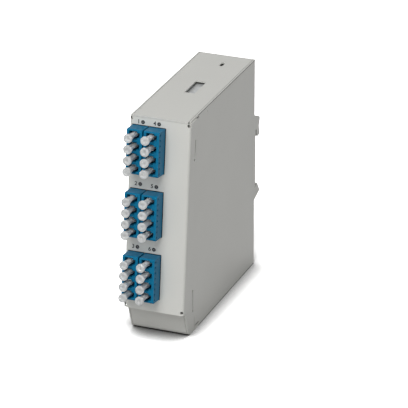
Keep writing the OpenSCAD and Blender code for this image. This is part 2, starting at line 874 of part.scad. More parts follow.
dust_cap(4, 1);  // dust_cap_18
dust_cap(4, 2);  // dust_cap_19
dust_cap(4, 3);  // dust_cap_20
dust_cap(5, 0);  // dust_cap_21
dust_cap(5, 1);  // dust_cap_22
dust_cap(5, 2);  // dust_cap_23
dust_cap(5, 3);  // dust_cap_24
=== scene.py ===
"""Looks for the DIN rail fibre box: finishes for its sheet, plastic and metal parts,
moulded dust caps, port numbers, threads on the fasteners, and a small photo stage."""

import math

import bmesh
import bpy
from bpy.props import FloatProperty, FloatVectorProperty, IntProperty, PointerProperty
from mathutils import Matrix, Vector


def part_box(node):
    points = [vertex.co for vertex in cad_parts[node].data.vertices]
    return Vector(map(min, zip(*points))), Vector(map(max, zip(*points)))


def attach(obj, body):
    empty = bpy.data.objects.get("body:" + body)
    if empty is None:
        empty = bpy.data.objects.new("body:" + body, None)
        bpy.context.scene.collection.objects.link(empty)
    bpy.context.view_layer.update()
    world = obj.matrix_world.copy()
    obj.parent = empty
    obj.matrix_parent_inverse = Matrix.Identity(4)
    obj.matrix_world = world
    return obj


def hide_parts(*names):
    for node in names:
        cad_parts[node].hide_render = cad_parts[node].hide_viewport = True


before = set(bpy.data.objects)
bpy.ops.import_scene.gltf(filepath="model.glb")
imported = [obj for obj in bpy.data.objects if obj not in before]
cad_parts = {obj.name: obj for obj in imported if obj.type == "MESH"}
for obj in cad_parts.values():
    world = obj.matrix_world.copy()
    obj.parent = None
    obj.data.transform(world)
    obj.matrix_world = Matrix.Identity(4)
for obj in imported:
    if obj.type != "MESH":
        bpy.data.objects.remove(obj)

bl_info = {
    "name": "DIN rail fibre box",
    "version": (1, 0, 0),
    "blender": (4, 5, 0),
    "location": "3D View > Sidebar > Fibre box",
    "description": "Finishes, dust caps, numbers and stage of a DIN rail fibre box",
    "category": "Add Mesh",
}

MM = 0.001

# the box as it was modelled, in millimetres: the cover's lean, the height of its lower
# edge, and how far the base's middle lies behind the cover's foot
LEAN = math.radians(6.26)
COVER_Z = 16.8
BASE_MID = 63.0404
# adapters: middles of their columns, middle of the lowest row, and from row to row
COLUMNS = (-11.05, -1.2)
ROW_FIRST = 20.2133
ROW_PITCH = 35.8127
# ports of an adapter: from one to the next, and beside the adapter's middle
PORT_PITCH = 6.25
PORT_X = -0.8
# an adapter: how far it stands out of the cover, its width and its height
ADAPTER_OUT = 8.8
ADAPTER_W = 9.0
ADAPTER_H = 25.2
# a dust cap in its port, out from the cover's face: floor of its bore, tip of its stem
# and end of its stem; then the radius of the bore and that of the head's rim
BARREL_END = 6.6
CAP_TIP = 0.7
STEM_END = 5.8
CAP_BORE = 1.35
CAP_RIM = 0.55
# seams of the case: where they start behind its front, end before its rear wall, and
# how far they lie in from its edge
SEAM_FRONT = 22.0
SEAM_BACK = 1.6
SEAM_IN = 0.35
# studs behind the cover: diameter, depth of the tip and of the nut's back
STUD_D = 3.0
STUD_TIP = 6.95
NUT_BACK = 4.15
# a thread's ridge as a share of its pitch
RIDGE_SHARE = 0.3
# points closer than this, in millimetres, become one
WELD = 0.0005

CAP_NODES = [f"dust_cap_{i:02d}" for i in range(1, 25)]
ADAPTER_NODES = [f"lc_adapter_{i}" for i in range(1, 7)]

# adapter numbers: what is printed, and its middle across and up the cover
NUMBERS = (("1", -12.3, 106.4), ("2", -12.7, 71.5), ("3", -13.0, 35.6),
           ("4", -3.0, 106.5), ("5", -3.3, 71.2), ("6", -3.4, 35.5))
# from a number's middle to that of its ring, in millimetres
RING_BESIDE = 2.5
# height of a figure as a share of the font's size, and what its strokes gain all round
FIGURE_SHARE = 0.73
STROKE_GAIN = 0.08

# soft lamps: the setting that holds each one's power, and its place in metres
LAMPS = {"key": (0.0, -1.0, 1.3), "low": (0.0, -1.6, 0.35), "side": (1.4, -0.3, 0.6)}
LAMP_SIZE = 0.9
LAMP_AIM = Vector((0, 0, 0.06))
# floor: half its width in metres, and the grey that it throws back at the box
FLOOR_HALF = 3.0
FLOOR_BOUNCE = 0.35
# contact shadow: its reach in millimetres, and how steeply it darkens
SHADOW_REACH = 18
SHADOW_POWER = 2.3
# width of the camera's sensor in millimetres, and how far it sees in metres
SENSOR = 36.0
SIGHT = 20.0


def linear(code):
    """A colour written as hex sRGB, turned linear for Blender's shaders."""
    parts = [int(code[i : i + 2], 16) / 255 for i in (1, 3, 5)]
    return [c / 12.92 if c <= 0.04045 else ((c + 0.055) / 1.055) ** 2.4 for c in parts]


def fill(tree, socket, value):
    """Links a socket to another one, or sets its value."""
    if isinstance(value, bpy.types.NodeSocket):
        tree.links.new(value, socket)
    else:
        socket.default_value = value


def add_node(tree, kind, sockets=None, **settings):
    """Adds a node, then its settings, values and links; a socket value is linked."""
    made = tree.nodes.new(kind)
    for name, value in settings.items():
        setattr(made, name, value)
    for name, value in (sockets or {}).items():
        fill(tree, made.inputs[name], value)
    return made


def on_cover(x, out, up):
    """A point of the leaning cover: across, out of its face and up along it, in mm."""
    y = up * math.sin(LEAN) - out * math.cos(LEAN) - BASE_MID
    z = COVER_Z + up * math.cos(LEAN) + out * math.sin(LEAN)
    return Vector((x, y, z)) * MM


def cover_matrix(x, out, up):
    """Frame at a point of the cover: X across, Y into the box, Z up along the cover."""
    return Matrix.Translation(on_cover(x, out, up)) @ Matrix.Rotation(-LEAN, 4, "X")


def port_place(index):
    """Across and along the cover, in mm, of the port of dust cap 1 to 24."""
    adapter, port = divmod(index - 1, 4)
    column, row = divmod(adapter, 3)
    up = ROW_FIRST + (2 - row) * ROW_PITCH + (1.5 - port) * PORT_PITCH
    return COLUMNS[column] + PORT_X, up


# ---------------------------------------------------------------- properties


class FIBREBOX_PG_finishes(bpy.types.PropertyGroup):
    """Colours of the box's finishes."""

    paint: FloatVectorProperty(
        name="Case paint", description="Light grey powder coat of the sheet case",
        default=linear("#C8C8C3"), subtype="COLOR", min=0, max=1,
    )
    adapter: FloatVectorProperty(
        name="Adapter blue", description="Moulded blue of the adapters",
        default=linear("#00688E"), subtype="COLOR", min=0, max=1,
    )
    cap: FloatVectorProperty(
        name="Cap white", description="Milky white of the soft dust caps",
        default=linear("#F0F1F0"), subtype="COLOR", min=0, max=1,
    )
    tray: FloatVectorProperty(
        name="Tray ivory", description="Off-white of the splice tray",
        default=linear("#E3E2DA"), subtype="COLOR", min=0, max=1,
    )
    comb: FloatVectorProperty(
        name="Comb grey", description="Dark grey of the soft splice combs",
        default=linear("#4C5054"), subtype="COLOR", min=0, max=1,
    )
    zinc: FloatVectorProperty(
        name="Zinc", description="Galvanised sheet of carrier and runners",
        default=linear("#C6C8C8"), subtype="COLOR", min=0, max=1,
    )
    steel: FloatVectorProperty(
        name="Steel", description="Plated steel of clips, spring and fasteners",
        default=linear("#A6A8AA"), subtype="COLOR", min=0, max=1,
    )
    ink: FloatVectorProperty(
        name="Ink", description="Dark grey pad print of the adapter numbers",
        default=linear("#2B2D2F"), subtype="COLOR", min=0, max=1,
    )
    # painted shade: the near black of the frames that stand for the shadow in the gaps round
    # the adapters
    gap_shadow: FloatVectorProperty(
        name="Seal black", description="Near black of the seals round the adapters",
        default=linear("#10161A"), subtype="COLOR", min=0, max=1,
    )
    # painted shade: the near black of the seam lines stands for the shadow in their open gaps,
    # over the dull steel of the cut edges
    edge: FloatVectorProperty(
        name="Cut edge", description="Dark bare steel in the open seams of the case",
        default=linear("#4B4B48"), subtype="COLOR", min=0, max=1,
    )


class FIBREBOX_PG_caps(bpy.types.PropertyGroup):
    """Sizes of a dust cap."""

    head: FloatProperty(
        name="Head diameter", description="Across the cap's head",
        default=5.0 * MM, subtype="DISTANCE", unit="LENGTH", min=0.0046, max=0.0053,
    )
    head_length: FloatProperty(
        name="Head length", description="Along the cap's head",
        default=1.4 * MM, subtype="DISTANCE", unit="LENGTH", min=0.001, max=0.003,
    )
    neck: FloatProperty(
        name="Neck diameter", description="Across the neck where it leaves the port",
        default=2.6 * MM, subtype="DISTANCE", unit="LENGTH", min=0.0025, max=0.0035,
    )
    throat: FloatProperty(
        name="Throat diameter", description="Across the neck just behind the head",
        default=4.0 * MM, subtype="DISTANCE", unit="LENGTH", min=0.0036, max=0.0041,
    )
    stem: FloatProperty(
        name="Stem diameter", description="Across the stem inside the port",
        default=3.8 * MM, subtype="DISTANCE", unit="LENGTH", min=0.0036, max=0.0042,
    )
    out: FloatProperty(
        name="Reach", description="How far a cap stands out of its adapter",
        default=7.8 * MM, subtype="DISTANCE", unit="LENGTH", min=0.006, max=0.012,
    )
    around: IntProperty(
        name="Steps around", description="Faces round the cap", default=48, min=16, max=96,
    )


class FIBREBOX_PG_details(bpy.types.PropertyGroup):
    """Sizes of the print, the painted gap shadows round the adapters, the seam lines and the
    studs' threads.
    """

    number: FloatProperty(
        name="Number height", description="Height of a printed adapter number",
        default=2.3 * MM, subtype="DISTANCE", unit="LENGTH", min=0.001, max=0.003,
    )
    ring: FloatProperty(
        name="Ring diameter", description="Middle diameter of the ring beside a number",
        default=1.3 * MM, subtype="DISTANCE", unit="LENGTH", min=0.0005, max=0.002,
    )
    line: FloatProperty(
        name="Ring line", description="Width of the ring's printed line",
        default=0.95 * MM, subtype="DISTANCE", unit="LENGTH", min=0.0002, max=0.001,
    )
    ink: FloatProperty(
        name="Ink thickness", description="How far the print stands on the paint",
        default=0.03 * MM, subtype="DISTANCE", unit="LENGTH", min=0.00001, max=0.0001,
    )
    # the painted gap shadow round each adapter: how far it shows, then how far it stands on
    # the paint
    gap_shadow: FloatProperty(
        name="Seal lip", description="How far a seal shows round its adapter",
        default=0.45 * MM, subtype="DISTANCE", unit="LENGTH", min=0.0002, max=0.0006,
    )
    gap_shadow_out: FloatProperty(
        name="Seal thickness", description="How far a seal stands on the paint",
        default=0.25 * MM, subtype="DISTANCE", unit="LENGTH", min=0.0001, max=0.0005,
    )
    seam: FloatProperty(
        name="Seam width", description="Width of the open seams of the case",
        default=0.35 * MM, subtype="DISTANCE", unit="LENGTH", min=0.0001, max=0.0006,
    )
    pitch: FloatProperty(
        name="Thread pitch", description="From crest to crest of the studs' thread",
        default=0.5 * MM, subtype="DISTANCE", unit="LENGTH", min=0.0003, max=0.0008,
    )


class FIBREBOX_PG_stage(bpy.types.PropertyGroup):
    """Camera and lamps."""

    azimuth: FloatProperty(
        name="Camera azimuth", description="Turn of the camera to the box's right",
        default=math.radians(21.352), subtype="ANGLE", unit="ROTATION",
    )
    elevation: FloatProperty(
        name="Camera elevation", description="Height of the camera as an angle",
        default=math.radians(24.054), subtype="ANGLE", unit="ROTATION",
    )
    distance: FloatProperty(
        name="Camera distance", description="From the aim point to the camera",
        default=1.72797, subtype="DISTANCE", unit="LENGTH", min=0.2,
    )
    lens: FloatProperty(
        name="Lens", description="Focal length on a 36 mm sensor",
        default=274.08, unit="CAMERA", min=20, max=500,
    )
    aim: FloatVectorProperty(
        name="Aim point", description="Point of the box in the middle of the picture",
        default=(5.627 * MM, -1.248 * MM, 56.197 * MM), subtype="XYZ", unit="LENGTH",
    )
    key: FloatProperty(
        name="Key light", description="Power of the high lamp before the box, in watts",
        default=15.8, unit="POWER", min=0,
    )
    low: FloatProperty(
        name="Low light", description="Power of the low lamp before the box, in watts",
        default=6.3, unit="POWER", min=0,
    )
    side: FloatProperty(
        name="Side light", description="Power of the lamp to the box's right, in watts",
        default=2.6, unit="POWER", min=0,
    )
    fill: FloatProperty(
        name="Room light", description="Strength of the even light of the room",
        default=0.28, subtype="FACTOR", min=0, max=2,
    )


# ----------------------------------------------------------------- materials


def new_material(name):
    """An empty material, its node tree and the Object coordinates in it."""
    material = bpy.data.materials.new(name)
    material.use_nodes = True
    tree = material.node_tree
    tree.nodes.clear()
    return material, tree, add_node(tree, "ShaderNodeTexCoord").outputs["Object"]


def mottled(tree, colour, pattern, low, high):
    """The colour, made darker and lighter by a pattern."""
    shade = add_node(tree, "ShaderNodeMapRange",
                     {"Value": pattern, "To Min": low, "To Max": high})
    tint = add_node(tree, "ShaderNodeVectorMath",
                    {0: (*colour,), "Scale": shade.outputs["Result"]}, operation="SCALE")
    return tint.outputs["Vector"]


def surface(tree, sockets):
    """Ends a material: its shader with these values and links, and its output."""
    shader = add_node(tree, "ShaderNodeBsdfPrincipled", sockets)
    add_node(tree, "ShaderNodeOutputMaterial", {"Surface": shader.outputs["BSDF"]})


def powder_coat(colour):
    """Powder coat: an even matt-satin grey whose orange peel breaks up the highlights."""
    material, tree, place = new_material("powder_coat")
    # orange peel, about 1.3 mm from bump to bump
    peel = add_node(tree, "ShaderNodeTexNoise",
                    {"Vector": place, "Scale": 1 / (1.3 * MM), "Detail": 2.0}).outputs["Fac"]
    # slow drift of the coat's thickness, about 30 mm wide
    drift = add_node(tree, "ShaderNodeTexNoise",
                     {"Vector": place, "Scale": 1 / (30 * MM), "Detail": 1.0}).outputs["Fac"]
    gloss = add_node(tree, "ShaderNodeMapRange",
                     {"Value": peel, "To Min": 0.36, "To Max": 0.46})
    bump = add_node(tree, "ShaderNodeBump",
                    {"Height": peel, "Strength": 0.12, "Distance": 0.05 * MM})
    surface(tree, {"Base Color": mottled(tree, colour, drift, 0.97, 1.03),
                   "Roughness": gloss.outputs["Result"],
                   "Normal": bump.outputs["Normal"], "IOR": 1.5})
    return material


def zinc_sheet(colour):
    """Galvanised sheet: flat grey metal with crystals that catch the light by turns."""
    material, tree, place = new_material("galvanised_sheet")
    # zinc crystals about 4 mm across
    cells = add_node(tree, "ShaderNodeTexVoronoi", {"Vector": place, "Scale": 1 / (4 * MM)})
    grey = add_node(tree, "ShaderNodeSeparateColor", {"Color": cells.outputs["Color"]})
    gloss = add_node(tree, "ShaderNodeMapRange",
                     {"Value": grey.outputs["Green"], "To Min": 0.38, "To Max": 0.55})
    # the dull white skin of the zinc hides most of its metal shine
    surface(tree, {"Base Color": mottled(tree, colour, grey.outputs["Red"], 0.86, 1.06),
                   "Roughness": gloss.outputs["Result"], "Metallic": 0.3})
    return material


def moulded_plastic(name, colour):
    """Moulded glass-filled plastic: satin, deep in colour, with a fine eroded grain."""
    material, tree, place = new_material(name)
    # spark-eroded grain, really 0.05 mm, drawn at 0.35 mm so that a picture shows it
    grain = add_node(tree, "ShaderNodeTexNoise",
                     {"Vector": place, "Scale": 1 / (0.35 * MM), "Detail": 3.0}).outputs["Fac"]
    # clouds of the melt, about 8 mm wide
    cloud = add_node(tree, "ShaderNodeTexNoise",
                     {"Vector": place, "Scale": 1 / (8 * MM), "Detail": 1.0}).outputs["Fac"]
    gloss = add_node(tree, "ShaderNodeMapRange",
                     {"Value": grain, "To Min": 0.3, "To Max": 0.42})
    bump = add_node(tree, "ShaderNodeBump",
                    {"Height": grain, "Strength": 0.1, "Distance": 0.03 * MM})
    # the eroded skin hides most of the plastic's gloss, so its colour stays deep
    surface(tree, {"Base Color": mottled(tree, colour, cloud, 0.92, 1.08),
                   "Roughness": gloss.outputs["Result"],
                   "Normal": bump.outputs["Normal"], "Specular IOR Level": 0.15})
    return material


def soft_polythene(colour):
    """Soft polythene: milky white that lets light bleed through its thin walls."""
    material, tree, place = new_material("soft_polythene")
    # clouds of the melt, about 2.5 mm wide
    cloud = add_node(tree, "ShaderNodeTexNoise",
                     {"Vector": place, "Scale": 1 / (2.5 * MM), "Detail": 2.0}).outputs["Fac"]
    gloss = add_node(tree, "ShaderNodeMapRange",
                     {"Value": cloud, "To Min": 0.34, "To Max": 0.48})
    bump = add_node(tree, "ShaderNodeBump",
                    {"Height": cloud, "Strength": 0.1, "Distance": 0.04 * MM})
    surface(tree, {"Base Color": mottled(tree, colour, cloud, 0.96, 1.02),
                   "Roughness": gloss.outputs["Result"],
                   "Normal": bump.outputs["Normal"],
                   "Transmission Weight": 0.45, "IOR": 1.51,
                   "Subsurface Weight": 1.0, "Subsurface Radius": (1.0, 1.0, 1.0),
                   "Subsurface Scale": 3.0 * MM})
    return material


def tray_polystyrene(colour):
    """Moulded tray plastic: off-white, half gloss, with faint flow clouds."""
    material, tree, place = new_material("tray_polystyrene")
    # flow clouds, about 14 mm wide
    flow = add_node(tree, "ShaderNodeTexNoise",
                    {"Vector": place, "Scale": 1 / (14 * MM), "Detail": 2.0}).outputs["Fac"]
    gloss = add_node(tree, "ShaderNodeMapRange",
                     {"Value": flow, "To Min": 0.3, "To Max": 0.4})
    surface(tree, {"Base Color": mottled(tree, colour, flow, 0.95, 1.03),
                   "Roughness": gloss.outputs["Result"]})
    return material


def plated_steel(colour):
    """Plated steel: bright, with fine drawing marks along the part."""
    material, tree, place = new_material("plated_steel")
    # drawing marks about 0.4 mm apart, stretched along Y
    marks = add_node(tree, "ShaderNodeMapping", {"Vector": place, "Scale": (1, 0.08, 1)})
    lines = add_node(tree, "ShaderNodeTexNoise",
                     {"Vector": marks.outputs["Vector"],
                      "Scale": 1 / (0.4 * MM)}).outputs["Fac"]
    gloss = add_node(tree, "ShaderNodeMapRange",
                     {"Value": lines, "To Min": 0.22, "To Max": 0.38})
    surface(tree, {"Base Color": mottled(tree, colour, lines, 0.9, 1.05),
                   "Roughness": gloss.outputs["Result"], "Metallic": 1.0})
    return material


def sleeve_zirconia():
    """Zirconia: dense off-white ceramic with a polished skin."""
    material, tree, place = new_material("zirconia")
    # faint clouds in the ceramic, about 1.5 mm wide
    cloud = add_node(tree, "ShaderNodeTexNoise", {"Vector": place, "Scale": 1 / (1.5 * MM)})
    tint = add_node(tree, "ShaderNodeMix",
                    {"Factor": cloud.outputs["Fac"], "A": (*linear("#EFECE2"), 1),
                     "B": (*linear("#E4E0D2"), 1)}, data_type="RGBA")
    surface(tree, {"Base Color": tint.outputs[2], "Roughness": 0.12})
    return material


def printed_ink(colour):
    """Pad print: dark ink, a little glossier than the paint and thin here and there."""
    material, tree, place = new_material("printed_ink")
    # thin spots of the print, about 0.3 mm across
    fleck = add_node(tree, "ShaderNodeTexNoise", {"Vector": place, "Scale": 1 / (0.3 * MM)})
    surface(tree, {"Base Color": mottled(tree, colour, fleck.outputs["Fac"], 0.8, 1.3),
                   "Roughness": 0.5})
    return material


def seam_edge_and_shade(colour):
    """Seam line: dull steel of the cut edge, made nearly black with painted shade of the
    narrow gap it lies in.
    """
    material, tree, place = new_material("raw_sheet_edge")
    # burrs of the cut, about 0.8 mm apart
    burr = add_node(tree, "ShaderNodeTexNoise", {"Vector": place, "Scale": 1 / (0.8 * MM)})
    surface(tree, {"Base Color": mottled(tree, colour, burr.outputs["Fac"], 0.7, 1.3),
                   "Roughness": 0.7, "Specular IOR Level": 0.2})
    return material


def dress(names, material):
    """Gives CAD nodes a material through their own slots."""
    for name in names:
        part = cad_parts[name]
        if not part.material_slots:
            part.data.materials.append(material)
        for slot in part.material_slots:
            slot.material = material


# -------------------------------------------------------------------- pieces


class FIBREBOX_OT_finish_case(bpy.types.Operator):
    """Powder coat on the case, the front cover and the rail foot"""

    bl_idname = "fibrebox.finish_case"
    bl_label = "Finish the painted sheet parts"

    def execute(self, context):
        coat = powder_coat(context.scene.fibrebox_finishes.paint)
        dress(["housing", "front_plate", "rail_plate", "rail_latch"], coat)
        return {"FINISHED"}


class FIBREBOX_OT_finish_adapters(bpy.types.Operator):
    """Blue plastic on the adapters and the combs, ceramic on the sleeves"""

    bl_idname = "fibrebox.finish_adapters"
    bl_label = "Finish the adapters"

    def execute(self, context):
        colours = context.scene.fibrebox_finishes
        dress(ADAPTER_NODES, moulded_plastic("adapter_polyester", colours.adapter))
        dress(["splice_comb_upper", "splice_comb_lower"],
              moulded_plastic("comb_polypropylene", colours.comb))
        dress(["alignment_sleeves"], sleeve_zirconia())
        return {"FINISHED"}


class FIBREBOX_OT_finish_insides(bpy.types.Operator):
    """Zinc, steel and tray plastic on the parts inside the case"""

    bl_idname = "fibrebox.finish_insides"
    bl_label = "Finish the inner parts"

    def execute(self, context):
        colours = context.scene.fibrebox_finishes
        dress(["tray_carrier", "runner_left", "runner_right"], zinc_sheet(colours.zinc))
        dress(["adapter_clips", "carrier_studs", "carrier_nuts", "tray_screws",
               "latch_spring", "rail_rivets"], plated_steel(colours.steel))
        dress(["splice_tray"], tray_polystyrene(colours.tray))
        return {"FINISHED"}


def shape_tree(name, inputs):
    """A geometry tree with named inputs, and its sockets that hold them."""
    tree = bpy.data.node_groups.new(name, "GeometryNodeTree")
    tree.interface.new_socket("Geometry", in_out="INPUT", socket_type="NodeSocketGeometry")
    tree.interface.new_socket("Geometry", in_out="OUTPUT", socket_type="NodeSocketGeometry")
    for label, kind in inputs.items():
        tree.interface.new_socket(label, in_out="INPUT", socket_type="NodeSocket" + kind)
    return tree, add_node(tree, "NodeGroupInput").outputs


def end_tree(tree, given, shape):
    """Makes the shape real, gives it its material and hands it out."""
    real = add_node(tree, "GeometryNodeRealizeInstances", {"Geometry": shape})
    painted = add_node(tree, "GeometryNodeSetMaterial",
                       {"Geometry": real.outputs[0], "Material": given["Material"]})
    add_node(tree, "NodeGroupOutput", {"Geometry": painted.outputs[0]})


def grown(name, tree, values, matrix, points=(), edges=()):
    """A plain mesh piece that a geometry tree gives with these sizes, at its place."""
    seed = bpy.data.meshes.new(name + "_seed")
    seed.from_pydata(points, edges, [])
    piece = bpy.data.objects.new(name, seed)
    bpy.context.scene.collection.objects.link(piece)
    modifier = piece.modifiers.new("shape", "NODES")
    modifier.node_group = tree
    for item in tree.interface.items_tree:
        if item.name in values:
            modifier[item.identifier] = values[item.name]
    ready = piece.evaluated_get(bpy.context.evaluated_depsgraph_get())
    mesh = bpy.data.meshes.new_from_object(ready)
    piece.modifiers.remove(modifier)
    piece.data = mesh
    mesh.name = name
    mesh.transform(matrix)
    bpy.data.meshes.remove(seed)
    if not mesh.polygons:
        raise RuntimeError(f"{name}: its geometry tree gave no faces")
    return piece


def cap_outline(tree, given):
    """Rows of a dust cap's outline, from the floor of its bore to the middle of its head.
    A row says what its radius and its reach are counted from, with millimetres off it."""
    head, neck, throat, stem = (
        add_node(tree, "ShaderNodeMath", {0: given[part + " diameter"], 1: 0.5},
                 operation="MULTIPLY").outputs[0]
        for part in ("Head", "Neck", "Throat", "Stem"))
    face = add_node(tree, "ShaderNodeMath",
                    {0: given["Reach"], 1: ADAPTER_OUT * MM}).outputs[0]
    low = add_node(tree, "ShaderNodeMath", {0: face, 1: given["Head length"]},
                   operation="SUBTRACT").outputs[0]
    bore = [(None, 0, None, BARREL_END), (None, CAP_BORE, None, BARREL_END),
            (None, CAP_BORE, None, CAP_TIP)]
    shank = [(stem, -0.25, None, CAP_TIP), (stem, 0, None, CAP_TIP + 0.4),
             (stem, 0, None, STEM_END), (stem, -0.25, None, BARREL_END + 0.2),
             (neck, 0, None, BARREL_END + 0.8)]
    collar = [(throat, -0.15, low, -1.0), (throat, 0, low, -0.3), (throat, 0.15, low, -0.1),
              (head, -0.25, low, 0.05), (head, 0, low, 0.3)]
    turns = [math.radians(15 * step) for step in range(7)]
    rim = [(head, CAP_RIM * (math.cos(turn) - 1), face, CAP_RIM * (math.sin(turn) - 1))
           for turn in turns]
    dimple = [(None, 0.95, face, 0), (None, 0.8, face, -0.12), (None, 0.6, face, -0.45),
              (None, 0, face, -0.55)]
    return bore + shank + collar + rim + dimple


def lathed(tree, outline, steps):
    """An outline spun about Y: each row of a grid takes a radius and a reach of it."""
    columns = add_node(tree, "ShaderNodeMath", {0: steps, 1: 1}).outputs[0]
    grid = add_node(tree, "GeometryNodeMeshGrid",
                    {"Vertices X": len(outline), "Vertices Y": columns}).outputs["Mesh"]
    index = add_node(tree, "GeometryNodeInputIndex").outputs[0]
    row = add_node(tree, "ShaderNodeMath", {0: index, 1: columns},
                   operation="DIVIDE").outputs[0]
    row = add_node(tree, "ShaderNodeMath", {0: row}, operation="FLOOR").outputs[0]
    column = add_node(tree, "ShaderNodeMath", {0: index, 1: columns},
                      operation="MODULO").outputs[0]
    part = add_node(tree, "ShaderNodeMath", {0: column, 1: steps},
                    operation="DIVIDE").outputs[0]
    # turned this way round, the faces look outwards
    turn = add_node(tree, "ShaderNodeMath", {0: part, 1: -2 * math.pi},
                    operation="MULTIPLY").outputs[0]
    chosen = []
    for base, off in ((0, 1), (2, 3)):
        switch = add_node(tree, "GeometryNodeIndexSwitch", {"Index": row},
                          data_type="FLOAT")
        while len(switch.index_switch_items) < len(outline):
            switch.index_switch_items.new()
        for socket, point in zip(switch.inputs[1:], outline):
            value = point[off] * MM
            if point[base] is not None:
                value = add_node(tree, "ShaderNodeMath",
                                 {0: point[base], 1: value}).outputs[0]
            fill(tree, socket, value)
        chosen.append(switch.outputs[0])
    radius, reach = chosen
    across, up = (
        add_node(tree, "ShaderNodeMath",
                 {0: add_node(tree, "ShaderNodeMath", {0: turn}, operation=wave).outputs[0],
                  1: radius}, operation="MULTIPLY").outputs[0]
        for wave in ("COSINE", "SINE"))
    # it reaches out along -Y
    out = add_node(tree, "ShaderNodeMath", {0: reach, 1: -1.0},
                   operation="MULTIPLY").outputs[0]
    place = add_node(tree, "ShaderNodeCombineXYZ", {"X": across, "Y": out, "Z": up})
    spun = add_node(tree, "GeometryNodeSetPosition",
                    {"Geometry": grid, "Position": place.outputs[0]}).outputs[0]
    # closes the seam and the two poles
    return add_node(tree, "GeometryNodeMergeByDistance",
                    {"Geometry": spun, "Distance": WELD * MM}).outputs[0]


def cap_tree():
    """A lathed dust cap, smooth but for its sharp edges."""
    tree, given = shape_tree("dust_cap_lathe", {
        "Head diameter": "Float", "Head length": "Float", "Neck diameter": "Float",
        "Throat diameter": "Float", "Stem diameter": "Float", "Reach": "Float",
        "Steps around": "Int", "Material": "Material"})
    shape = lathed(tree, cap_outline(tree, given), given["Steps around"])
    soft = add_node(tree, "GeometryNodeSetShadeSmooth",
                    {0: shape, "Shade Smooth": True}).outputs[0]
    bend = add_node(tree, "GeometryNodeInputMeshEdgeAngle").outputs["Unsigned Angle"]
    gentle = add_node(tree, "ShaderNodeMath", {0: bend, 1: math.radians(40)},
                      operation="LESS_THAN").outputs[0]
    soft = add_node(tree, "GeometryNodeSetShadeSmooth",
                    {0: soft, "Shade Smooth": gentle}, domain="EDGE").outputs[0]
    end_tree(tree, given, soft)
    return tree


class FIBREBOX_OT_dust_caps(bpy.types.Operator):
    """Moulded dust caps, one in each of the 24 ports"""

    bl_idname = "fibrebox.dust_caps"
    bl_label = "Make the dust caps"

    def execute(self, context):
        sizes = context.scene.fibrebox_caps
        tree = cap_tree()
        values = {
            "Head diameter": sizes.head, "Head length": sizes.head_length,
            "Neck diameter": sizes.neck, "Throat diameter": sizes.throat,
            "Stem diameter": sizes.stem, "Reach": sizes.out,
            "Steps around": sizes.around,
            "Material": soft_polythene(context.scene.fibrebox_finishes.cap),
        }
        for index, cad_node in enumerate(CAP_NODES, 1):
            x, up = port_place(index)
            cap = grown(f"cap_{index:02d}_moulded", tree, values, cover_matrix(x, 0, up))
            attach(cap, f"cap_{index:02d}")
            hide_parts(cad_node)
        return {"FINISHED"}


def ring_tree():
    """A printed ring at each point of the seed: a flat band bent round."""
    tree, given = shape_tree("printed_rings", {
        "Ring diameter": "Float", "Line": "Float", "Thickness": "Float",
        "Material": "Material"})
    radius = add_node(tree, "ShaderNodeMath", {0: given["Ring diameter"], 1: 0.5},
                      operation="MULTIPLY").outputs[0]
    loop = add_node(tree, "GeometryNodeCurvePrimitiveCircle",
                    {"Resolution": 28, "Radius": radius}).outputs["Curve"]
    band = add_node(tree, "GeometryNodeCurvePrimitiveQuadrilateral",
                    {"Width": given["Line"], "Height": given["Thickness"]}).outputs["Curve"]
    ring = add_node(tree, "GeometryNodeCurveToMesh",
                    {"Curve": loop, "Profile Curve": band}).outputs[0]
    # the circle is drawn flat, and the cover's face stands up
    stood = add_node(tree, "GeometryNodeTransform",
                     {"Geometry": ring, "Rotation": (math.pi / 2, 0, 0)}).outputs[0]
    rings = add_node(tree, "GeometryNodeInstanceOnPoints",
                     {"Points": given["Geometry"], "Instance": stood}).outputs[0]
    end_tree(tree, given, rings)
    return tree


class FIBREBOX_OT_numbers(bpy.types.Operator):
    """Printed numbers 1 to 6 above the adapters, each with a small ring"""

    bl_idname = "fibrebox.numbers"
    bl_label = "Print the adapter numbers"

    def execute(self, context):
        sizes = context.scene.fibrebox_details
        ink = printed_ink(context.scene.fibrebox_finishes.ink)
        joined = bmesh.new()
        for body, x, up in NUMBERS:
            figure = self.figure(body, sizes)
            figure.transform(cover_matrix(x, 0, up))
            joined.from_mesh(figure)
            bpy.data.meshes.remove(figure)
        bmesh.ops.remove_doubles(joined, verts=joined.verts, dist=WELD * MM)
        bmesh.ops.recalc_face_normals(joined, faces=joined.faces)
        mesh = bpy.data.meshes.new("adapter_numbers")
        joined.to_mesh(mesh)
        joined.free()
        mesh.materials.append(ink)
        numbers = bpy.data.objects.new("adapter_numbers", mesh)
        context.scene.collection.objects.link(numbers)
        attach(numbers, "front_module")
        rings = grown("adapter_rings", ring_tree(),
                      {"Ring diameter": sizes.ring, "Line": sizes.line,
                       "Thickness": 2 * sizes.ink, "Material": ink},
                      cover_matrix(0, 0, 0),
                      [((x + RING_BESIDE) * MM, 0, up * MM) for _, x, up in NUMBERS])
        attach(rings, "front_module")
        return {"FINISHED"}

    def figure(self, body, sizes):
        """One printed figure as a thin closed mesh, its middle at the origin."""
        text = bpy.data.curves.new("figure", "FONT")
        text.body = body
        text.size = sizes.number / FIGURE_SHARE
        text.align_x = "CENTER"
        text.align_y = "CENTER"
        text.extrude = sizes.ink
        text.offset = STROKE_GAIN * MM
        text.resolution_u = 4
        holder = bpy.data.objects.new("figure", text)
        mesh = bpy.data.meshes.new_from_object(holder)
        bpy.data.objects.remove(holder)
        bpy.data.curves.remove(text)
        # text lies flat and is read from above, and the cover is read from the front
        mesh.transform(Matrix.Rotation(math.pi / 2, 4, "X"))
        return mesh


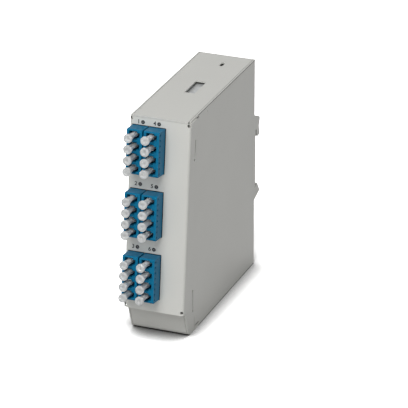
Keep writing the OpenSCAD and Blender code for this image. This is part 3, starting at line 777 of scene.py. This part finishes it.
def seam_tree():
    """Seams: a thin dark line swept along each edge of the seed's path; its darkness is
    painted shade of the gap.
    """
    tree, given = shape_tree("sheet_seams", {
        "Width": "Float", "Thickness": "Float", "Material": "Material"})
    path = add_node(tree, "GeometryNodeMeshToCurve",
                    {"Mesh": given["Geometry"]}).outputs[0]
    band = add_node(tree, "GeometryNodeCurvePrimitiveQuadrilateral",
                    {"Width": given["Thickness"], "Height": given["Width"]}).outputs["Curve"]
    line = add_node(tree, "GeometryNodeCurveToMesh",
                    {"Curve": path, "Profile Curve": band, "Fill Caps": True}).outputs[0]
    end_tree(tree, given, line)
    return tree


class FIBREBOX_OT_seams(bpy.types.Operator):
    """Dark lines where the top and the base sheet meet the side walls: the seams, darkened
    with painted shade of their gaps
    """

    bl_idname = "fibrebox.seams"
    bl_label = "Draw the sheet's open seams"

    def execute(self, context):
        sizes = context.scene.fibrebox_details
        low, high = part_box("housing")
        front = low[1] + SEAM_FRONT * MM
        back = high[1] - SEAM_BACK * MM
        points = []
        for x in (low[0], high[0]):
            for z in (low[2] + SEAM_IN * MM, high[2] - SEAM_IN * MM):
                points += [(x, front, z), (x, back, z)]
        edges = [(start, start + 1) for start in range(0, len(points), 2)]
        # the seam lines' dark tone is painted shade of the gaps, over the cut steel edge
        bare = seam_edge_and_shade(context.scene.fibrebox_finishes.edge)
        seams = grown("sheet_seams", seam_tree(),
                      {"Width": sizes.seam, "Thickness": 2 * sizes.ink, "Material": bare},
                      Matrix.Identity(4), points, edges)
        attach(seams, "case")
        return {"FINISHED"}


def gap_shadow_tree():
    """Painted gap shadows: a thin near-black frame on the cover round each adapter, at the
    seed's points, standing for the shade in the gap between cover and adapter.
    """
    tree, given = shape_tree("adapter_seals", {
        "Width": "Float", "Height": "Float", "Lip": "Float", "Thickness": "Float",
        "Material": "Material"})
    loop = add_node(tree, "GeometryNodeCurvePrimitiveQuadrilateral",
                    {"Width": given["Width"], "Height": given["Height"]}).outputs["Curve"]
    band = add_node(tree, "GeometryNodeCurvePrimitiveQuadrilateral",
                    {"Width": given["Lip"], "Height": given["Thickness"]}).outputs["Curve"]
    lip = add_node(tree, "GeometryNodeCurveToMesh",
                   {"Curve": loop, "Profile Curve": band}).outputs[0]
    # the lip is drawn flat, and the cover's face stands up
    stood = add_node(tree, "GeometryNodeTransform",
                     {"Geometry": lip, "Rotation": (math.pi / 2, 0, 0)}).outputs[0]
    seals = add_node(tree, "GeometryNodeInstanceOnPoints",
                     {"Points": given["Geometry"], "Instance": stood}).outputs[0]
    end_tree(tree, given, seals)
    return tree


class FIBREBOX_OT_gap_shadows(bpy.types.Operator):
    """Painted shadows: near-black frames on the cover that stand for the shade in the gap
    round each adapter
    """

    bl_idname = "fibrebox.seals"
    bl_label = "Seal the adapters"

    def execute(self, context):
        sizes = context.scene.fibrebox_details
        # a near-black frame round each adapter, painted shade of the gap between it and the
        # cover
        black = moulded_plastic("seal_rubber", context.scene.fibrebox_finishes.gap_shadow)
        places = [(x * MM, 0, (ROW_FIRST + row * ROW_PITCH) * MM)
                  for x in COLUMNS for row in range(3)]
        seals = grown("adapter_seals", gap_shadow_tree(),
                      {"Width": ADAPTER_W * MM, "Height": ADAPTER_H * MM,
                       "Lip": 2 * sizes.gap_shadow, "Thickness": 2 * sizes.gap_shadow_out,
                       "Material": black}, cover_matrix(0, 0, 0), places)
        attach(seals, "front_module")
        return {"FINISHED"}


def thread_tree():
    """Screw threads: a fine ridge wound round each stud."""
    tree, given = shape_tree("stud_threads", {
        "Diameter": "Float", "Pitch": "Float", "Length": "Float", "Spacing": "Float",
        "Material": "Material"})
    radius = add_node(tree, "ShaderNodeMath", {0: given["Diameter"], 1: 0.5},
                      operation="MULTIPLY").outputs[0]
    turns = add_node(tree, "ShaderNodeMath", {0: given["Length"], 1: given["Pitch"]},
                     operation="DIVIDE").outputs[0]
    ridge = add_node(tree, "ShaderNodeMath", {0: given["Pitch"], 1: RIDGE_SHARE},
                     operation="MULTIPLY").outputs[0]
    coil = add_node(tree, "GeometryNodeCurveSpiral",
                    {"Resolution": 24, "Rotations": turns, "Start Radius": radius,
                     "End Radius": radius, "Height": given["Length"]}).outputs[0]
    section = add_node(tree, "GeometryNodeCurvePrimitiveCircle",
                       {"Resolution": 6, "Radius": ridge}).outputs["Curve"]
    thread = add_node(tree, "GeometryNodeCurveToMesh",
                      {"Curve": coil, "Profile Curve": section,
                       "Fill Caps": True}).outputs[0]
    # the coil climbs along Z, and a stud points into the box along Y
    laid = add_node(tree, "GeometryNodeTransform",
                    {"Geometry": thread, "Rotation": (-math.pi / 2, 0, 0)}).outputs[0]
    step = add_node(tree, "ShaderNodeCombineXYZ", {"Z": given["Spacing"]}).outputs[0]
    row = add_node(tree, "GeometryNodeMeshLine", {"Count": 2, "Offset": step}).outputs[0]
    threads = add_node(tree, "GeometryNodeInstanceOnPoints",
                       {"Points": row, "Instance": laid}).outputs[0]
    end_tree(tree, given, threads)
    return tree


class FIBREBOX_OT_threads(bpy.types.Operator):
    """Threads on the ends of the two carrier studs"""

    bl_idname = "fibrebox.threads"
    bl_label = "Cut the stud threads"

    def execute(self, context):
        low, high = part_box("carrier_studs")
        x = (low[0] + high[0]) / 2 / MM
        pitch = context.scene.fibrebox_details.pitch
        length = (STUD_TIP - NUT_BACK) * MM - 2 * pitch
        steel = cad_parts["carrier_studs"].material_slots[0].material
        threads = grown("stud_threads", thread_tree(),
                        {"Diameter": STUD_D * MM, "Pitch": pitch, "Length": length,
                         "Spacing": ROW_PITCH * MM, "Material": steel},
                        cover_matrix(x, -NUT_BACK - pitch / MM,
                                     ROW_FIRST + ROW_PITCH / 2))
        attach(threads, "front_module")
        return {"FINISHED"}


# --------------------------------------------------------------------- stage


class FIBREBOX_OT_stage(bpy.types.Operator):
    """Pale floor, soft lamps, white room and the camera"""

    bl_idname = "fibrebox.stage"
    bl_label = "Build the stage"

    def execute(self, context):
        stage = context.scene.fibrebox_stage
        self.floor()
        self.room(stage.fill)
        for name, place in LAMPS.items():
            self.lamp(name + "_lamp", getattr(stage, name), place)
        self.camera(stage)
        context.scene.view_settings.view_transform = "Standard"
        return {"FINISHED"}

    def seen(self, tree, *kinds):
        """1 where a ray of one of these kinds meets the surface, else 0."""
        rays = add_node(tree, "ShaderNodeLightPath").outputs
        sight = rays[kinds[0]]
        for other in kinds[1:]:
            sight = add_node(tree, "ShaderNodeMath", {0: sight, 1: rays[other]},
                             operation="MAXIMUM").outputs[0]
        return sight

    def floor(self):
        """A wide white sheet that keeps the shadow of the box."""
        low = min(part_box(name)[0].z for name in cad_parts)
        half = FLOOR_HALF
        mesh = bpy.data.meshes.new("floor")
        mesh.from_pydata([(-half, -half, low), (half, -half, low),
                          (half, half, low), (-half, half, low)], [], [(0, 1, 2, 3)])
        floor = bpy.data.objects.new("floor", mesh)
        bpy.context.scene.collection.objects.link(floor)
        mesh.materials.append(self.paper())

    def paper(self):
        """White paper: dull, bright to the eye, and dark close under the box."""
        material, tree, place = new_material("white_paper")
        # grain of the sheet, about 2 mm wide
        grain = add_node(tree, "ShaderNodeTexNoise",
                         {"Vector": place, "Scale": 1 / (2 * MM), "Detail": 2.0})
        rough = add_node(tree, "ShaderNodeMapRange",
                         {"Value": grain.outputs["Fac"], "To Min": 0.85, "To Max": 0.95})
        # what the paper throws back at the box, less than a real white floor
        look = add_node(tree, "ShaderNodeBsdfPrincipled",
                        {"Base Color": (*[FLOOR_BOUNCE] * 3, 1),
                         "Roughness": rough.outputs["Result"]}).outputs[0]
        # contact shadow: the paper darkens close to what stands on it
        near = add_node(tree, "ShaderNodeAmbientOcclusion",
                        {"Distance": SHADOW_REACH * MM}, samples=16).outputs["AO"]
        near = add_node(tree, "ShaderNodeMath", {0: near, 1: SHADOW_POWER},
                        operation="POWER").outputs[0]
        # the eye sees the paper three times as bright, so that only shadow tells on it
        sheet = add_node(tree, "ShaderNodeBsdfDiffuse", {"Color": near}).outputs[0]
        bright = add_node(tree, "ShaderNodeAddShader", {0: sheet, 1: sheet}).outputs[0]
        bright = add_node(tree, "ShaderNodeAddShader", {0: bright, 1: sheet}).outputs[0]
        # reflections see it plain white
        white = add_node(tree, "ShaderNodeEmission", {"Color": near}).outputs[0]
        for kinds, other in ((("Is Glossy Ray", "Is Transmission Ray"), white),
                             (("Is Camera Ray",), bright)):
            look = add_node(tree, "ShaderNodeMixShader",
                            {0: self.seen(tree, *kinds), 1: look, 2: other}).outputs[0]
        add_node(tree, "ShaderNodeOutputMaterial", {"Surface": look})
        return material

    def room(self, strength):
        """Even light from all round, and white where the eye sees past the floor."""
        world = bpy.data.worlds.new("white_room")
        bpy.context.scene.world = world
        world.use_nodes = True
        tree = world.node_tree
        tree.nodes.clear()
        level = add_node(tree, "ShaderNodeMapRange",
                         {"Value": self.seen(tree, "Is Camera Ray", "Is Glossy Ray",
                                             "Is Transmission Ray"),
                          "To Min": strength, "To Max": 1.0})
        back = add_node(tree, "ShaderNodeBackground",
                        {"Color": (1, 1, 1, 1), "Strength": level.outputs["Result"]})
        add_node(tree, "ShaderNodeOutputWorld", {"Surface": back.outputs["Background"]})

    def lamp(self, name, watts, place):
        """A large soft lamp that looks at the middle of the box."""
        data = bpy.data.lights.new(name, "AREA")
        data.energy = watts
        data.size = LAMP_SIZE
        lamp = bpy.data.objects.new(name, data)
        lamp.location = place
        towards = LAMP_AIM - Vector(place)
        lamp.rotation_mode = "QUATERNION"
        lamp.rotation_quaternion = towards.to_track_quat("-Z", "Y")
        bpy.context.scene.collection.objects.link(lamp)

    def camera(self, stage):
        """A long lens from the front right, above the box."""
        data = bpy.data.cameras.new("camera")
        data.lens = stage.lens
        data.sensor_width = SENSOR
        data.clip_end = SIGHT
        camera = bpy.data.objects.new("camera", data)
        back = Vector((math.sin(stage.azimuth) * math.cos(stage.elevation),
                       -math.cos(stage.azimuth) * math.cos(stage.elevation),
                       math.sin(stage.elevation)))
        camera.location = Vector(stage.aim) + back * stage.distance
        camera.rotation_mode = "QUATERNION"
        camera.rotation_quaternion = (-back).to_track_quat("-Z", "Y")
        bpy.context.scene.collection.objects.link(camera)
        bpy.context.scene.camera = camera


# --------------------------------------------------------------------- panel


class FIBREBOX_PT_panel(bpy.types.Panel):
    """Sidebar panel that lists the pieces"""

    bl_idname = "FIBREBOX_PT_panel"
    bl_label = "Fibre box"
    bl_space_type = "VIEW_3D"
    bl_region_type = "UI"
    bl_category = "Fibre box"

    def draw(self, context):
        for place, kind in GROUPS.items():
            box = self.layout.box()
            for name in kind.__annotations__:
                box.prop(getattr(context.scene, place), name)
        for operator in OPERATORS:
            self.layout.operator(operator.bl_idname)


OPERATORS = (
    FIBREBOX_OT_finish_case,
    FIBREBOX_OT_finish_adapters,
    FIBREBOX_OT_finish_insides,
    FIBREBOX_OT_dust_caps,
    FIBREBOX_OT_numbers,
    FIBREBOX_OT_gap_shadows,
    FIBREBOX_OT_seams,
    FIBREBOX_OT_threads,
    FIBREBOX_OT_stage,
)
GROUPS = {
    "fibrebox_finishes": FIBREBOX_PG_finishes,
    "fibrebox_caps": FIBREBOX_PG_caps,
    "fibrebox_details": FIBREBOX_PG_details,
    "fibrebox_stage": FIBREBOX_PG_stage,
}
CLASSES = (*GROUPS.values(), *OPERATORS, FIBREBOX_PT_panel)


def register():
    """Registers the classes and hangs the settings on the scene."""
    for cls in CLASSES:
        bpy.utils.register_class(cls)
    for name, group in GROUPS.items():
        setattr(bpy.types.Scene, name, PointerProperty(type=group))


def unregister():
    """Takes everything out again."""
    for name in GROUPS:
        delattr(bpy.types.Scene, name)
    for cls in reversed(CLASSES):
        bpy.utils.unregister_class(cls)


def main():
    """Makes every piece."""
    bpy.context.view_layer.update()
    register()
    bpy.ops.fibrebox.finish_case()
    bpy.ops.fibrebox.finish_adapters()
    bpy.ops.fibrebox.finish_insides()
    bpy.ops.fibrebox.dust_caps()
    bpy.ops.fibrebox.numbers()
    bpy.ops.fibrebox.seals()
    bpy.ops.fibrebox.seams()
    bpy.ops.fibrebox.threads()
    bpy.ops.fibrebox.stage()
    bpy.context.view_layer.update()


if __name__ == "__main__":
    main()
